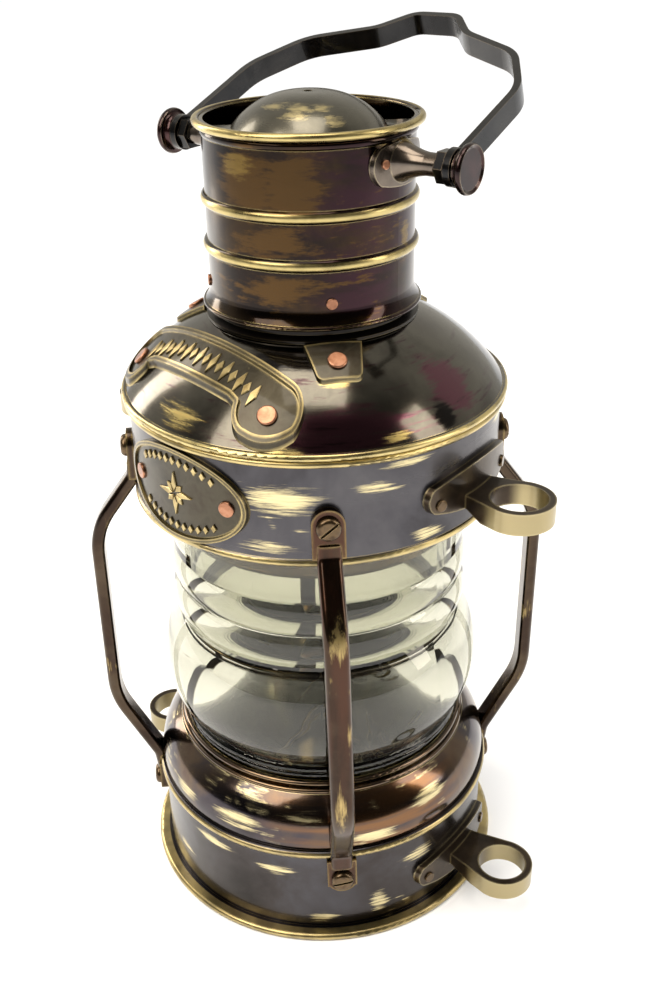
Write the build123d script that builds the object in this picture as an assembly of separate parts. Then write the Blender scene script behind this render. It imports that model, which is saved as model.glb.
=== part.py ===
from build123d import *
import math
import os

# Ship's anchor lantern, millimetres. +Z is up and the origin is the centre of the foot.
# The bail pivots and the guide eyes lie on the X axis, and the nameplates face -Y.

# Driving dimensions
SHEET = 1.0             # wall of the spun brass shells
FOOT_R = 86.6           # outside of the rolled foot bead
FOOT_BEAD = 1.8
BASE_R = 80.2           # base wall
BASE_TOP = 49.1         # centre height of the base bead
SEAT_Z = 73.2           # face that the lower gasket lies on
GLASS_LOW = 75.0
GLASS_TOP = 203.1
GLASS_BORE = 60.0       # inside radius of the glass
DRUM_R = 80.0           # drum wall
DRUM_LOW = 202.7        # centre height of the drum's lower bead
DRUM_TOP = 246.0        # centre height of the drum's upper bead
DOME_ARC = [(81.0, 249.8), (66.0, 265.8), (42.6, 279.8)]    # outer face: edge, middle, neck
CHIMNEY_R = 42.2        # chimney wall
SKIRT_Z = 285.8         # centre height of the lip round the chimney's foot
CHIMNEY_BEADS = (309.7, 328.1)
RIM_Z = 357.3           # centre height of the rolled rim
CAP_R = 30.5            # vent cap
CAP_Z = 354.0           # lower edge of the vent cap
CAP_RISE = 12.6
PIVOT_Z = 345.0         # bail pivot height
BAIL_X = 66.3           # middle of each bail arm
BAIL_LEAN = 69.0        # the bail's rest lean from upright, towards +Y
BAIL_WIDTH = 9.0
BAIL_THICK = 3.0
PIN_R = 3.0             # thumb screw shank
RUNNING = 0.05          # radial clearance of a turning shank
SNUG = 0.03             # gap round a riveted shank
STRAP = 3.0             # thickness of the cast eye straps and guard tabs
GUARD_TURN = -4.0       # the guards stand this far round from the diagonals
GUARD_WIDE = 10.2
GUARD_DEEP = 6.0
GUARD_SKEW = 1.1        # each hand-bent guard leans this far sideways
TAB_WIDE = 13.4
ARCH_AZ = -103.0        # direction that the arched nameplate faces
OVAL_AZ = -97.0         # direction that the oval nameplate faces
TRAY_R = 56.5           # font tray
TRAY_UNLOCK = 32.0      # turn that frees the tray's lugs
BURNER_Z = 71.0         # foot of the burner body
SPINDLE_Z = 75.6
SPUR_R = 4.0            # wick spur wheel

NECK_R = CHIMNEY_R - SHEET
UP = (Align.CENTER, Align.CENTER, Align.MIN)

os.makedirs("parts", exist_ok=True)


def save(node, shape):
    """Write one sub-part as parts/NODE.step."""
    solids = shape.solids()
    whole = solids[0] if len(solids) == 1 else Compound(list(solids))
    export_step(whole, f"parts/{node}.step")


def outline(*curves):
    """A face in the XY plane from curves that join end to end."""
    return make_face(ShapeList([edge for curve in curves for edge in curve.edges()]))


def spun(*curves):
    """Turn a closed outline of (radius, height) curves about the Z axis."""
    return revolve(Rot(90, 0, 0) * outline(*curves), Axis.Z, 360)


def loop(*points):
    """A closed straight-sided outline."""
    return Polyline(*points, close=True)


def ring(r_in, r_out, low, high):
    """A plain ring or tube between two heights."""
    return spun(loop((r_in, low), (r_out, low), (r_out, high), (r_in, high)))


def bead(radius, height, wire):
    """A rolled bead: centre-line radius, centre height, wire radius."""
    return Pos(0, 0, height) * Torus(radius, wire)


def swage(radius, height, half, rise):
    """A soft raised band pressed outward in a wall."""
    low = (radius - 0.4, height - half)
    high = (radius - 0.4, height + half)
    return spun(ThreePointArc(low, (radius + rise, height), high), Line(high, low))


def peg(radius, low, high):
    """A round peg along local Z."""
    return Pos(0, 0, low) * Cylinder(radius, high - low, align=UP)


def around(azimuth, radius, height, tilt=0.0):
    """A frame on the lantern's outside: local Z outward, local X sideways, local Y up."""
    a = math.radians(azimuth)
    t = math.radians(tilt)
    outward = (math.cos(a) * math.cos(t), math.sin(a) * math.cos(t), math.sin(t))
    sideways = (-math.sin(a), math.cos(a), 0)
    origin = (radius * math.cos(a), radius * math.sin(a), height)
    return Plane(origin=origin, x_dir=sideways, z_dir=outward).location


def rivet(frame, head_r, head_h, shank_r, depth):
    """A flat-topped rivet: the head stands on the frame, the shank goes into the wall."""
    head = peg(head_r, 0, head_h)
    head = fillet(head.edges().sort_by(Axis.Z)[-1], head_h * 0.55)
    return frame * (head + peg(shank_r, -depth, 0.1))


def drilled(shape, frames, radius, depth=12.0):
    """The shape with a round hole along each frame's normal."""
    for frame in frames:
        shape -= frame * peg(radius, -depth, depth)
    return shape


def joined(shapes):
    """Several separate solids that share one node."""
    return Compound([solid for shape in shapes for solid in shape.solids()])


# ---------------------------------------------------------------- base
foot_centre = FOOT_R - FOOT_BEAD
foot_pan = ring(58.0, foot_centre, 2.4, 3.6)
foot_pan += bead(foot_centre, FOOT_BEAD, FOOT_BEAD)
foot_pan += ring(foot_centre - 1.0, foot_centre + 1.0, 0.0, 1.2)
lug_angles = (0, 120, 240)
for angle in lug_angles:
    foot_pan -= Rot(0, 0, angle + TRAY_UNLOCK) * (Pos(60, 0, 3) * Box(8.4, 27.0, 4.0))

base_wall = ring(BASE_R - SHEET, BASE_R, 3.6, BASE_TOP)
base_wall += bead(BASE_R + 0.1, BASE_TOP, 2.0)

shoulder_top = (70.0, 75.4)
shoulder_low = (BASE_R - 0.2, 51.0)
base_shoulder = spun(
    ThreePointArc(shoulder_low, (77.6, 67.2), shoulder_top),
    Line(shoulder_top, (69.6, 74.4)),
    ThreePointArc((69.6, 74.4), (76.7, 66.6), (BASE_R - 1.2, 51.0)),
    Line((BASE_R - 1.2, 51.0), shoulder_low),
)

gallery_ring = spun(loop(
    (60.2, SEAT_Z - 1.2), (69.4, SEAT_Z - 1.2), (69.4, SEAT_Z), (67.4, SEAT_Z + 0.8),
    (67.4, 80.4), (66.2, 80.4), (66.2, SEAT_Z), (60.2, SEAT_Z),
))
gallery_ring += bead(67.5, 79.4, 1.3)
gallery_ring += bead(68.6, 75.9, 1.3)
gallery_ring -= base_shoulder
lower_gasket = ring(60.4, 65.6, SEAT_Z, GLASS_LOW)

# ---------------------------------------------------------------- lens and its holder
RIB_ROOT = 66.0
ribs = ((142.0, 157.6, 68.1), (158.8, 173.8, 67.8))     # low, high and crown radius of each
rib_curves = []
for low, high, crown in ribs:
    rib_curves.append(ThreePointArc((RIB_ROOT, low), (crown, (low + high) / 2), (RIB_ROOT, high)))
foot_ribs = (
    ThreePointArc((65.6, 81.4), (66.9, 83.0), (66.0, 84.6)),
    ThreePointArc((66.0, 84.6), (67.8, 86.6), (66.8, 88.6)),
)
lens = spun(
    Polyline((GLASS_BORE, GLASS_LOW), (65.6, GLASS_LOW), (65.6, 81.4)),
    *foot_ribs,
    ThreePointArc((66.8, 88.6), (74.6, 114.5), (65.8, 140.0)),
    Line((65.8, 140.0), (RIB_ROOT, ribs[0][0])),
    rib_curves[0],
    ThreePointArc((RIB_ROOT, ribs[0][1]), (65.6, 158.2), (RIB_ROOT, ribs[1][0])),
    rib_curves[1],
    Polyline(
        (RIB_ROOT, ribs[1][1]), (66.8, 175.4), (66.8, GLASS_TOP),
        (GLASS_BORE, GLASS_TOP), (GLASS_BORE, GLASS_LOW),
    ),
)
upper_gasket = ring(60.4, 66.6, GLASS_TOP, GLASS_TOP + 1.6)
flange_z = GLASS_TOP + 1.62
upper_lens_ring = spun(loop(
    (57.2, 184.0), (58.4, 184.0), (58.4, flange_z), (78.9, flange_z),
    (78.9, flange_z + 1.2), (57.2, flange_z + 1.2),
))
upper_lens_ring += bead(57.8, 184.6, 1.0)

# ---------------------------------------------------------------- drum and dome
drum_shell = ring(DRUM_R - SHEET, DRUM_R, DRUM_LOW, DRUM_TOP)
drum_shell += bead(DRUM_R - 1.1, DRUM_LOW, 2.0)
drum_shell += bead(81.0, DRUM_TOP, 1.4)
drum_shell += ring(DRUM_R - SHEET, 81.0, DRUM_TOP - 0.6, DRUM_TOP + 0.6)

dome_edge, dome_middle, dome_neck = DOME_ARC
dome_inner = [(r - 0.35, z - 0.95) for r, z in DOME_ARC]
dome_cover = spun(
    ThreePointArc(*DOME_ARC),
    Line(dome_neck, dome_inner[2]),
    ThreePointArc(*reversed(dome_inner)),
    Line(dome_inner[0], dome_edge),
)
dome_cover += bead(81.3, DRUM_TOP + 2.95, 1.5)


def dome_frame(azimuth, radius, lift=0.0):
    """A frame standing on the dome's outer face, raised along its normal."""
    (x1, y1), (x2, y2), (x3, y3) = DOME_ARC
    s1, s2, s3 = (x * x + y * y for x, y in DOME_ARC)
    d = 2 * (x1 * (y2 - y3) + x2 * (y3 - y1) + x3 * (y1 - y2))
    centre_r = (s1 * (y2 - y3) + s2 * (y3 - y1) + s3 * (y1 - y2)) / d
    centre_z = (s1 * (x3 - x2) + s2 * (x1 - x3) + s3 * (x2 - x1)) / d
    bend = math.hypot(x1 - centre_r, y1 - centre_z)
    tilt = math.acos((radius - centre_r) / bend)
    reach = bend + lift
    r = centre_r + reach * math.cos(tilt)
    z = centre_z + reach * math.sin(tilt)
    return around(azimuth, r, z, math.degrees(tilt))


def dome_skin(lift):
    """The layer that lies on the dome, up to a height above it."""
    high = [(r + lift * 0.4, z + lift) for r, z in DOME_ARC]
    return spun(
        ThreePointArc(*DOME_ARC),
        Line(dome_neck, high[2]),
        ThreePointArc(*reversed(high)),
        Line(high[0], dome_edge),
    )


draught_cone = spun(loop(
    (72.0, 206.0), (73.0, 206.0), (39.4, 262.0), (39.4, 273.0), (38.4, 273.0), (38.4, 261.6),
))

# ---------------------------------------------------------------- chimney
neck_collar = ring(NECK_R - 1.2, NECK_R - SNUG, 274.0, 300.0)
neck_collar += spun(loop(
    (NECK_R - 0.2, 281.0), (44.2, 279.6), (44.2, 280.8), (NECK_R - 0.2, 282.4),
))
neck_collar -= dome_cover

chimney = ring(NECK_R, CHIMNEY_R, 292.0, RIM_Z)
chimney += spun(
    ThreePointArc((CHIMNEY_R, 293.5), (42.9, 289.2), (44.6, 286.4)),
    Polyline((44.6, 286.4), (43.7, 285.9), (NECK_R, 290.8), (NECK_R, 293.5), (CHIMNEY_R, 293.5)),
)
chimney += bead(44.4, SKIRT_Z, 0.9)
for height in CHIMNEY_BEADS:
    chimney += swage(CHIMNEY_R, height, 2.6, 1.65)
chimney += swage(CHIMNEY_R, RIM_Z - 3.4, 1.8, 0.9)
chimney += ring(NECK_R, 44.2, RIM_Z - 0.7, RIM_Z + 0.7)
chimney += bead(44.1, RIM_Z, 1.65)

wind_baffle = Pos(0, 0, 332) * Cylinder(NECK_R - SNUG, 1.0)
for i in range(8):
    wind_baffle -= Rot(0, 0, 45 * i) * (Pos(30, 0, 332) * Cylinder(5.0, 6))

diagonals = [45.0 + 90.0 * i + GUARD_TURN for i in range(4)]
strap_az = diagonals[0]
cap_bracket = Pos(0, 0, CAP_Z - 0.7) * Box(90, 11.0, 1.4)
for side in (1, -1):
    cap_bracket += Pos(side * (NECK_R - 0.8), 0, CAP_Z - 4.4) * Box(1.6, 9.0, 8.8)
cap_bracket = Rot(0, 0, strap_az) * (cap_bracket & peg(NECK_R - SNUG, 300, 400))
vent_cap = spun(
    ThreePointArc((CAP_R, CAP_Z), (22.6, CAP_Z + 7.4), (0, CAP_Z + CAP_RISE)),
    Line((0, CAP_Z + CAP_RISE), (0, CAP_Z + CAP_RISE - SHEET)),
    ThreePointArc((0, CAP_Z + CAP_RISE - SHEET), (22.0, CAP_Z + 6.5), (CAP_R - 1.6, CAP_Z)),
    Line((CAP_R - 1.6, CAP_Z), (CAP_R, CAP_Z)),
)
cap_bolt_frame = Pos(0, 0, CAP_Z + CAP_RISE)
vent_cap = drilled(vent_cap, [cap_bolt_frame], 1.5 + SNUG, 30)
cap_bracket = drilled(cap_bracket, [cap_bolt_frame], 1.5 + SNUG, 30)
cap_bolt = peg(1.5, CAP_Z - 4.0, CAP_Z + CAP_RISE - 0.4)
cap_nut = extrude(RegularPolygon(3.2, 6), 2.4)
cap_bolt += Pos(0, 0, CAP_Z - 1.4 - 2.5) * cap_nut

chimney_frames = [around(az + 6, CHIMNEY_R + SNUG, 295.0) for az in diagonals]
chimney = drilled(chimney, chimney_frames, 1.2 + SNUG, 4)
neck_collar = drilled(neck_collar, chimney_frames, 1.2 + SNUG, 4)
chimney_rivets = joined([rivet(f, 2.3, 0.9, 1.2, 3.0) for f in chimney_frames])

# ---------------------------------------------------------------- neck tabs
TAB_LIFT = 1.6
tab_plan = outline(loop((44.9, 11.4), (60.6, 8.6), (60.6, -8.6), (44.9, -11.4)))
tab_plan = fillet(tab_plan.vertices().group_by(Axis.X)[-1], 3.0)
tab_slab = Pos(0, 0, 240) * extrude(tab_plan, 60)
tab_blank = tab_slab & dome_skin(TAB_LIFT)
neck_tabs = []
tab_frames = []
for tab_az in (-43.5, 76.5, 196.5):
    tab_frames.append(dome_frame(tab_az, 53.0, TAB_LIFT * 1.09 + SNUG))
    neck_tabs.append(Rot(0, 0, tab_az) * tab_blank)
neck_tabs = [drilled(tab, tab_frames, 1.8 + SNUG, 6) for tab in neck_tabs]
dome_cover = drilled(dome_cover, tab_frames, 1.8 + SNUG, 6)
neck_tab_rivets = joined([rivet(f, 3.9, 1.2, 1.8, 4.5) for f in tab_frames])

# ---------------------------------------------------------------- nameplates
PLATE_LIFT = 2.6
PLATE_FLOOR = 1.4
BORDER = 1.8
LUG_AT = (58.2, 41.8)   # the right-hand rivet, in plan from the lantern's axis
arch_top = (46.0, 42.0)
lug_shoulder = (56.0, 54.0)
lug_toe = (69.0, 39.5)
lug_corner = (64.6, 29.2)
arch_low = (64.4, 25.0)


def across(point):
    """The same place on the plate's other half, in plan."""
    return (point[0], -point[1])


arch_edges = [ThreePointArc(across(arch_top), (50.0, 0), arch_top)]
arch_edges += [ThreePointArc(across(arch_low), (66.2, 0), arch_low)]
for flip in (tuple, across):
    arch_edges += [
        ThreePointArc(flip(arch_top), flip((48.2, 50.8)), flip(lug_shoulder)),
        ThreePointArc(flip(lug_shoulder), flip((64.2, 48.6)), flip(lug_toe)),
        ThreePointArc(flip(lug_toe), flip((69.0, 33.6)), flip(lug_corner)),
        Line(flip(lug_corner), flip(arch_low)),
    ]
arch_plan = outline(*arch_edges)
arch_pocket = offset(arch_plan, amount=-BORDER)


def on_plate(plan, skin):
    """A solid that follows the dome below a plan outline."""
    return (Pos(0, 0, 230) * extrude(plan, 80)) & skin


arched_plate = on_plate(arch_plan, dome_skin(PLATE_LIFT))
arched_plate -= on_plate(arch_pocket, dome_skin(PLATE_LIFT + 2) - dome_skin(PLATE_FLOOR))
arched_plate = Rot(0, 0, ARCH_AZ) * arched_plate
lug_out = math.hypot(*LUG_AT)
lug_turn = math.degrees(math.atan2(LUG_AT[1], LUG_AT[0]))
lug_lift = PLATE_FLOOR * 1.09 + SNUG
arch_frames = [dome_frame(ARCH_AZ + turn, lug_out, lug_lift) for turn in (lug_turn, -lug_turn)]
arched_plate = drilled(arched_plate, arch_frames, 1.8 + SNUG, 6) - dome_cover
dome_cover = drilled(dome_cover, arch_frames, 1.8 + SNUG, 6)

OVAL_Z = 224.0
OVAL_A = 34.0
OVAL_B = 20.0
oval_at = around(OVAL_AZ, 60, OVAL_Z)
oval_plate = (oval_at * extrude(Ellipse(OVAL_A, OVAL_B), 30)) & ring(DRUM_R, DRUM_R + 2.2, 200, 250)
oval_pocket = oval_at * extrude(Ellipse(OVAL_A - BORDER, OVAL_B - BORDER), 40)
oval_plate -= oval_pocket & ring(DRUM_R + 1.2, DRUM_R + 5.0, 200, 250)
oval_frames = [around(OVAL_AZ + t, DRUM_R + 1.2 + SNUG, OVAL_Z) for t in (18.4, -18.4)]
oval_plate = drilled(oval_plate, oval_frames, 1.6 + SNUG, 5)
drum_shell = drilled(drum_shell, oval_frames, 1.6 + SNUG, 5)
plate_rivets = joined(
    [rivet(f, 4.0, 1.3, 1.8, 4.0) for f in arch_frames]
    + [rivet(f, 3.4, 1.0, 1.6, 3.6) for f in oval_frames]
)

# ---------------------------------------------------------------- guards
keep_out = peg(DRUM_R, 196, 247) + bead(DRUM_R - 1.1, DRUM_LOW, 2.0 + SNUG)
keep_out += peg(BASE_R, 3, 50) + bead(BASE_R + 0.1, BASE_TOP, 2.0 + SNUG)
keep_out += spun(
    Polyline((0, 50), (BASE_R + 0.1, 50), (BASE_R + 0.1, 51.0)),
    ThreePointArc((BASE_R + 0.1, 51.0), (77.9, 67.3), (70.2, 75.6)),
    Polyline((70.2, 75.6), (0, 75.6), (0, 50)),
)
UPPER_SCREW_Z = 220.0
LOWER_SCREW_Z = 36.0
guard_path = Rot(90, 0, 0) * FilletPolyline(
    (81.2, 212.0), (81.8, 206.0), (101.0, 180.0), (101.0, 88.0), (82.4, 52.0), (81.2, 43.0),
    radius=[7, 36, 40, 10],
)
guard_section = Rectangle(GUARD_DEEP, GUARD_WIDE)
guard_section = fillet(guard_section.vertices().group_by(Axis.X)[-1], 2.7)
guard_section = fillet(guard_section.vertices().group_by(Axis.X)[0], 1.6)
guard_start = Plane(origin=(81.2, 0, 212.0), x_dir=(6.0, 0, 0.6), z_dir=(0.6, 0, -6.0))
guard_bar = sweep(guard_start * guard_section, path=guard_path)
TAB_FACE = 83.2         # flat outer face of the guard tabs, from the axis
TAB_DEPTH = 8.4
tab_mid = TAB_FACE - TAB_DEPTH / 2
tab_end = Rot(0, 90, 0) * Cylinder(TAB_WIDE / 2, TAB_DEPTH)
upper_tab = Pos(tab_mid, 0, 213.5) * Box(TAB_DEPTH, TAB_WIDE, 15) + Pos(tab_mid, 0, 221) * tab_end
lower_tab = Pos(tab_mid, 0, 39.5) * Box(TAB_DEPTH, TAB_WIDE, 15) + Pos(tab_mid, 0, 35.4) * tab_end
guard_middle = (UPPER_SCREW_Z + LOWER_SCREW_Z) / 2
skewed = Pos(0, 0, guard_middle) * Rot(GUARD_SKEW, 0, 0) * Pos(0, 0, -guard_middle)
guard_blank = skewed * (guard_bar + upper_tab + lower_tab) - keep_out
screw_shift = (UPPER_SCREW_Z - guard_middle) * math.tan(math.radians(GUARD_SKEW))
guards = []
upper_frames = []
lower_frames = []
for az in diagonals:
    turned = Rot(0, 0, az)
    upper_frames.append(turned * Pos(0, -screw_shift, 0) * around(0, TAB_FACE + SNUG, UPPER_SCREW_Z))
    lower_frames.append(turned * Pos(0, screw_shift, 0) * around(0, TAB_FACE + SNUG, LOWER_SCREW_Z))
    guards.append(Rot(0, 0, az) * guard_blank)
SCREW_R = 2.0
guards = [drilled(g, upper_frames + lower_frames, SCREW_R + SNUG, 9) for g in guards]
drum_shell = drilled(drum_shell, upper_frames, SCREW_R + SNUG, 9)
base_wall = drilled(base_wall, lower_frames, SCREW_R + SNUG, 9)


def slotted_screw(frame, slot_angle):
    """A pan-head screw with a driving slot."""
    head = peg(5.0, 0, 2.8)
    head = fillet(head.edges().sort_by(Axis.Z)[-1], 2.0)
    head -= Rot(0, 0, slot_angle) * (Pos(0, 0, 2.6) * Box(12, 1.1, 1.8))
    return frame * (head + peg(SCREW_R, -8.5, 0.1))


def hex_nut(frame, low, high, across, bore):
    """A hexagon nut along the frame's normal."""
    nut = extrude(RegularPolygon(across / 2, 6, major_radius=False), high - low)
    return frame * (Pos(0, 0, low) * nut - peg(bore, low - 1, high + 1))


upper_slots = (8, 75, -30, 40)
lower_slots = (84, 20, -55, 10)
guard_screws_upper = joined([slotted_screw(f, s) for f, s in zip(upper_frames, upper_slots)])
guard_screws_lower = joined([slotted_screw(f, s) for f, s in zip(lower_frames, lower_slots)])
guard_nuts = joined([hex_nut(f, -7.6, -4.6, 7.0, SCREW_R + SNUG) for f in upper_frames + lower_frames])

# ---------------------------------------------------------------- guide eyes
eye_sizes = {
    # strap centre height, ring top, eye centre radius, bore, ring outside, wall radius
    "upper": (222.5, 219.5, 101.0, 11.7, 14.8, DRUM_R),
    "lower": (21.6, 24.5, 105.0, 10.9, 14.3, BASE_R),
}
EYE_TALL = 9.4
EYE_RIVET_AZ = 17.0


def leaf(half_long, end_high, middle_high):
    """A strap's outline: taller in the middle, with rounded ends."""
    low = (half_long - end_high * 0.5, -end_high)
    high = (half_long - end_high * 0.5, end_high)
    return outline(
        ThreePointArc(low, (half_long, 0), high),
        ThreePointArc(high, (0, middle_high), (-high[0], high[1])),
        ThreePointArc((-high[0], high[1]), (-half_long, 0), (-low[0], low[1])),
        ThreePointArc((-low[0], low[1]), (0, -middle_high), low),
    )


def guide_eye(strap_z, top, centre, bore, outside, wall):
    """A cast bracket on +X: a strap round the wall, and an arm that widens into an upright-bored ring."""
    strap = around(0, 60, strap_z) * extrude(leaf(30.0, 5.6, 9.6), 40)
    strap &= ring(wall, wall + STRAP, strap_z - 20, strap_z + 20)
    low = top - EYE_TALL
    touch = math.radians(18)
    tangent = (centre - outside * math.sin(touch), outside * math.cos(touch))
    root = outside * 0.56
    arm_plan = loop((wall - 6, root), tangent, (tangent[0], -tangent[1]), (wall - 6, -root))
    arm = Pos(0, 0, low) * extrude(outline(arm_plan), EYE_TALL)
    under = loop(
        (wall - 8, low - 6), (centre - outside * 0.7, low), (wall + STRAP, low + 3.4), (wall - 8, low + 3.4),
    )
    arm -= Pos(0, 20, 0) * (Rot(90, 0, 0) * extrude(outline(under), 40))
    arm += Pos(centre, 0, low) * Cylinder(outside, EYE_TALL, align=UP)
    arm -= Pos(centre, 0, low) * Cylinder(bore, EYE_TALL + 2)
    arm -= Pos(centre, 0, low) * Cylinder(bore, EYE_TALL + 2, align=UP)
    arm -= peg(wall, low - 20, low + 30)
    return strap + arm


eyes = {}
eye_frames = []
for level, sizes in eye_sizes.items():
    blank = guide_eye(*sizes)
    for side, turn in (("right", 0), ("left", 180)):
        eyes[f"eye_{level}_{side}"] = Rot(0, 0, turn) * blank
        for rivet_az in (EYE_RIVET_AZ, -EYE_RIVET_AZ):
            height = sizes[0] - (2.4 if level == "upper" else 1.4)
            eye_frames.append(around(turn + rivet_az, sizes[5] + STRAP + SNUG, height))
eyes = {name: drilled(eye, eye_frames, 1.6 + SNUG, 6) for name, eye in eyes.items()}
drum_shell = drilled(drum_shell, eye_frames, 1.6 + SNUG, 6)
base_wall = drilled(base_wall, eye_frames, 1.6 + SNUG, 6)
eye_rivets = joined([rivet(f, 2.6, 1.0, 1.6, 5.2) for f in eye_frames])

# ---------------------------------------------------------------- bail pivots
BRACKET_Z = 344.4
BOSS_END = 60.4
NUT_END = 64.3
bracket = around(0, 30, BRACKET_Z) * extrude(leaf(15.9, 6.9, 8.4), 20)
bracket &= ring(CHIMNEY_R, CHIMNEY_R + 2.2, 330, 360)
boss = spun(
    Line((0, 0), (9.4, 0)),
    ThreePointArc((9.4, 0), (5.8, 6.6), (4.4, 12.6)),
    Polyline((4.4, 12.6), (4.3, BOSS_END - CHIMNEY_R), (0, BOSS_END - CHIMNEY_R), (0, 0)),
)
bracket += around(0, CHIMNEY_R, PIVOT_Z) * boss - peg(CHIMNEY_R + 0.5, 330, 360)
bracket -= swage(CHIMNEY_R, RIM_Z - 3.4, 1.8 + SNUG, 0.9 + SNUG)
pin_bore = Pos(48, 0, PIVOT_Z) * (Rot(0, 90, 0) * Cylinder(PIN_R + RUNNING, 40, align=UP))
bracket -= pin_bore
bracket_frames = []
bail_brackets = {}
bail_nuts = {}
for side, turn in (("right", 0), ("left", 180)):
    bail_brackets[side] = Rot(0, 0, turn) * bracket
    pivot = around(turn, BOSS_END, PIVOT_Z)
    bail_nuts[side] = hex_nut(pivot, 0, NUT_END - BOSS_END, 11.5, PIN_R + RUNNING)
    for rivet_az in (14.0, -14.0):
        bracket_frames.append(around(turn + rivet_az, CHIMNEY_R + 2.2 + SNUG, BRACKET_Z + 1))
bail_brackets = {side: drilled(b, bracket_frames, 1.0 + SNUG, 4) for side, b in bail_brackets.items()}
chimney = drilled(chimney, bracket_frames, 1.0 + SNUG, 4)
bail_bracket_rivets = joined([rivet(f, 1.8, 0.8, 1.0, 3.8) for f in bracket_frames])

KNOB_X = BAIL_X + BAIL_THICK / 2 + 0.35
knob = spun(
    Polyline((0, -15), (PIN_R, -15), (PIN_R, 0), (6.4, 0), (6.4, 0.8)),
    ThreePointArc((6.4, 0.8), (7.1, 2.2), (9.0, 2.8)),
    ThreePointArc((9.0, 2.8), (9.4, 4.2), (8.8, 5.4)),
    Polyline((8.8, 5.4), (7.6, 4.7), (0, 4.7), (0, -15)),
)
bail_screws = {
    "right": around(0, KNOB_X, PIVOT_Z) * knob,
    "left": around(180, KNOB_X, PIVOT_Z) * knob,
}

# ---------------------------------------------------------------- bail
half = [(BAIL_X, 0), (BAIL_X, 51), (52, 75.5), (22.5, 88.5), (10.5, 102.5)]
bail_points = half + [(-x, s) for x, s in reversed(half)]
bail_path = FilletPolyline(*bail_points, radius=[24, 22, 15, 9, 9, 15, 22, 24])
bail_section = Plane(origin=(BAIL_X, 0, 0), x_dir=(1, 0, 0), z_dir=(0, 1, 0))
bail_flat = sweep(bail_section * Rectangle(BAIL_THICK, BAIL_WIDTH), path=bail_path)
for side in (1, -1):
    bail_flat += Pos(side * BAIL_X, 0, 0) * (Rot(0, 90, 0) * Cylinder(7.2, BAIL_THICK))
    bail_flat -= Pos(side * BAIL_X, 0, 0) * (Rot(0, 90, 0) * Cylinder(PIN_R + RUNNING, 20))
lean = math.radians(BAIL_LEAN)
bail_plane = Plane(origin=(0, 0, PIVOT_Z), x_dir=(1, 0, 0), z_dir=(0, -math.cos(lean), math.sin(lean)))
bail = bail_plane.location * bail_flat

# ---------------------------------------------------------------- font tray and burner
font_tray = spun(loop(
    (0, 10.0), (22.5, 10.0), (24.0, 1.2), (TRAY_R, 1.2), (TRAY_R, 5.6), (TRAY_R - 2, 5.6),
    (TRAY_R - 2, 2.6), (25.4, 2.6), (23.8, 11.4), (0, 11.4),
))
for angle in lug_angles:
    lug = ring(TRAY_R - 1, 60.6, 3.95, 5.4) & (Pos(60, 0, 4.6) * Box(14, 20, 6))
    font_tray += Rot(0, 0, angle) * lug
tray_grip = Pos(0, 0, 3.0) * Box(60, 7.0, 2.8) & peg(23.35, 0, 8)

FILLER = Pos(-33, 0, 0)
filler_bore = FILLER * peg(5.8, 50, 70)
oil_font = spun(loop(
    (0, 11.5), (50, 11.5), (50, 54), (45, 58.5), (17, 62.5), (17, 67.0), (15.8, 67.0),
    (15.8, 61.6), (44.6, 57.5), (49, 53.6), (49, 12.5), (0, 12.5),
))
oil_font += FILLER * peg(7.0, 58.4, 64.0)
oil_font -= filler_bore
filler_cap = FILLER * (peg(9.0, 62.0, 67.6) - peg(7.0 + SNUG, 60, 64.1))
for i in range(18):
    filler_cap -= FILLER * (Rot(0, 0, 20 * i) * (Pos(9.2, 0, 65) * Cylinder(0.6, 12)))

burner_collar = ring(17.0 + SNUG, 20.0, 62.6, BURNER_Z - SNUG)
burner_collar += ring(13.0, 17.5, 67.0 + SNUG, BURNER_Z - SNUG)
burner_body = spun(loop(
    (13.0, BURNER_Z), (19.0, BURNER_Z), (19.0, BURNER_Z + 2), (14.6, 80.0), (10.4, 82.0),
    (10.4, 81.0), (13.6, 79.4), (17.6, 72.6), (13.0, 72.6),
))
burner_body += bead(14.2, 80.2, 1.3)
flame_tube = spun(
    Polyline((10.3, 82.0 + SNUG), (10.3, 101.0)),
    ThreePointArc((10.3, 101.0), (9.0, 104.4), (5.6, 106.0)),
    Line((5.6, 106.0), (5.6, 105.0)),
    ThreePointArc((5.6, 105.0), (8.2, 103.8), (9.3, 101.0)),
    Polyline((9.3, 101.0), (9.3, 82.0 + SNUG), (10.3, 82.0 + SNUG)),
)
flame_tube -= Pos(0, 0, 104) * Box(17.0, 5.6, 6)
wick_tube = Pos(0, 0, 22.0) * Box(15.0, 5.0, 80.0, align=UP) + peg(12.9, 70.2, 71.0)
wick_tube -= Box(13.0, 3.0, 120.0, align=UP)
wick = Pos(0, 0, 18.0) * Box(12.4, 2.4, 87.0, align=UP)

spindle_y = 1.2 + 0.12 + SPUR_R
spindle_at = Plane(origin=(0, spindle_y, SPINDLE_Z), x_dir=(0, 1, 0), z_dir=(1, 0, 0)).location
wick_tube -= Pos(0, 4.0, SPINDLE_Z) * Box(12.0, 5.0, 9.2)
spur = RegularPolygon(SPUR_R, 10)
for angle in range(0, 360, 36):
    spur -= Rot(0, 0, angle + 18) * (Pos(SPUR_R, 0) * Circle(0.8))
wick_spindle = spindle_at * peg(1.25, -8.0, 30.0)
for place in (-3.6, 2.0):
    wick_spindle += spindle_at * (Pos(0, 0, place) * extrude(spur, 1.6))
burner_body -= spindle_at * peg(1.25 + RUNNING, 0, 40)
wick_knob = spindle_at * (peg(6.5, 26.0, 29.0) - peg(1.25 + SNUG, 20, 40))
for i in range(12):
    wick_knob -= spindle_at * (Rot(0, 0, 30 * i) * (Pos(6.9, 0, 27) * Cylinder(0.9, 8)))

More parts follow.
